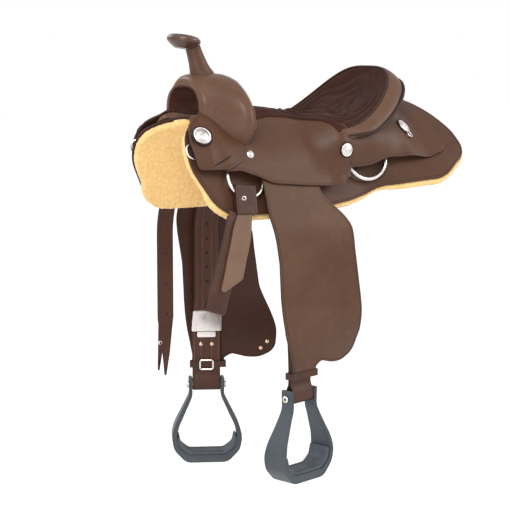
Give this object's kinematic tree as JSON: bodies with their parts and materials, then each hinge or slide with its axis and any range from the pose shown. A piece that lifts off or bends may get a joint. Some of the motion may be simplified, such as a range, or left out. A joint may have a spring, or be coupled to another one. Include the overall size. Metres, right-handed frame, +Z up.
{
  "type": "western saddle",
  "caption": "Western stock saddle: horned fork, quilted seat, skirts on fleece, hanging fenders with free stirrups, rigging rings, latigo and billet.",
  "frame": {"origin": "on the centre line at the tree's ring of the horse's back, 28 mm under the skirts' ridge in the middle of the saddle", "axes": "+X to the rear (the horn is towards -X), +Y to the rider's right, +Z up"},
  "size_m": [0.6581, 0.4396, 0.9221],
  "materials": {
    "dark_leather": "dark thin leather",
    "fleece": "wool fleece",
    "plated_steel": "bright plated steel",
    "saddle_leather": "tooled-weight skirting leather, semi-matt",
    "seat_suede": "rough-out suede, quilted",
    "stirrup_composite": "moulded composite, satin",
    "strap_leather": "latigo and strap leather",
    "tread_rubber": "ribbed tread pad",
    "tree_wood": "sealed wood"
  },
  "bodies": {
    "saddle": {"breast_dee_near": "plated_steel", "breast_dee_off": "plated_steel", "cantle_back": "saddle_leather", "cantle_binding": "dark_leather", "fleece_near": "fleece", "fleece_off": "fleece", "front_concho_near": "plated_steel", "front_concho_off": "plated_steel", "front_jockey_near": "saddle_leather", "front_jockey_off": "saddle_leather", "front_rig_strap_near": "strap_leather", "front_rig_strap_off": "strap_leather", "ground_seat": "dark_leather", "gullet_lining": "dark_leather", "horn_cap": "saddle_leather", "horn_wrap": "dark_leather", "rear_concho_near": "plated_steel", "rear_concho_off": "plated_steel", "rear_jockey_near": "saddle_leather", "rear_jockey_off": "saddle_leather", "rear_rig_strap_near": "strap_leather", "rear_rig_strap_off": "strap_leather", "seat_concho_near": "plated_steel", "seat_concho_off": "plated_steel", "seat_jockey_near": "saddle_leather", "seat_jockey_off": "saddle_leather", "seat_pad": "seat_suede", "skirt_near": "saddle_leather", "skirt_off": "saddle_leather", "swell_cover": "saddle_leather", "tree_bar_near": "tree_wood", "tree_bar_off": "tree_wood", "tree_cantle": "tree_wood", "tree_fork": "tree_wood"},
    "leathers_near": {"fender_near": "saddle_leather", "stirrup_leather_near": "strap_leather", "plate_buckle_near": "plated_steel", "hobble_strap_near": "dark_leather", "hobble_buckle_near": "plated_steel", "stirrup_bolt_near": "plated_steel"},
    "stirrup_near": {"stirrup_near": "stirrup_composite", "tread_pad_near": "tread_rubber"},
    "latigo": {"front_rig_ring_near": "plated_steel", "latigo_wrap": "strap_leather", "latigo": "strap_leather", "latigo_end": "strap_leather"},
    "rear_dee_near": {"rear_dee_near": "plated_steel"},
    "clip_near": {"clip_ring_near": "plated_steel"},
    "leathers_off": {"fender_off": "saddle_leather", "stirrup_leather_off": "strap_leather", "plate_buckle_off": "plated_steel", "hobble_strap_off": "dark_leather", "hobble_buckle_off": "plated_steel", "stirrup_bolt_off": "plated_steel"},
    "stirrup_off": {"stirrup_off": "stirrup_composite", "tread_pad_off": "tread_rubber"},
    "billet": {"front_rig_ring_off": "plated_steel", "off_billet": "strap_leather"},
    "rear_dee_off": {"rear_dee_off": "plated_steel"},
    "clip_off": {"clip_ring_off": "plated_steel"}
  },
  "joints": [
    {"name": "fender_swing_near", "type": "hinge", "parent": "saddle", "child": "leathers_near", "pos_m": [-0.0765, -0.11573, -0.02963], "axis": [0, 0.9511, -0.309], "range_deg": [-14, 4]},
    {"name": "stirrup_swing_near", "type": "hinge", "parent": "leathers_near", "child": "stirrup_near", "pos_m": [-0.086, -0.16927, -0.50385], "axis": [0.9781, 0.2079, 0], "range_deg": [-35, 35]},
    {"name": "latigo_swing", "type": "hinge", "parent": "saddle", "child": "latigo", "pos_m": [-0.19, -0.13066, -0.06474], "axis": [0, 0.9272, -0.3746], "range_deg": [-3, 15]},
    {"name": "rear_dee_lift_near", "type": "hinge", "parent": "saddle", "child": "rear_dee_near", "pos_m": [0.1115, -0.13172, -0.04284], "axis": [-0.9836, 0.0575, -0.1711], "range_deg": [0, 12]},
    {"name": "clip_lift_near", "type": "hinge", "parent": "saddle", "child": "clip_near", "pos_m": [0.21707, -0.13696, 0.0101], "axis": [-0.9414, -0.2362, 0.2408], "range_deg": [0, 30]},
    {"name": "fender_swing_off", "type": "hinge", "parent": "saddle", "child": "leathers_off", "pos_m": [-0.0765, 0.11573, -0.02963], "axis": [0, 0.9511, 0.309], "range_deg": [-14, 3]},
    {"name": "stirrup_swing_off", "type": "hinge", "parent": "leathers_off", "child": "stirrup_off", "pos_m": [-0.086, 0.16927, -0.54185], "axis": [0.866, -0.5, 0], "range_deg": [-35, 35]},
    {"name": "billet_swing", "type": "hinge", "parent": "saddle", "child": "billet", "pos_m": [-0.19, 0.13066, -0.06474], "axis": [0, 0.9272, 0.3746], "range_deg": [-3, 10]},
    {"name": "rear_dee_lift_off", "type": "hinge", "parent": "saddle", "child": "rear_dee_off", "pos_m": [0.1115, 0.13172, -0.04284], "axis": [0.9836, 0.0575, 0.1711], "range_deg": [0, 12]},
    {"name": "clip_lift_off", "type": "hinge", "parent": "saddle", "child": "clip_off", "pos_m": [0.21707, 0.13696, 0.0101], "axis": [0.9414, -0.2362, -0.2408], "range_deg": [0, 30]}
  ]
}
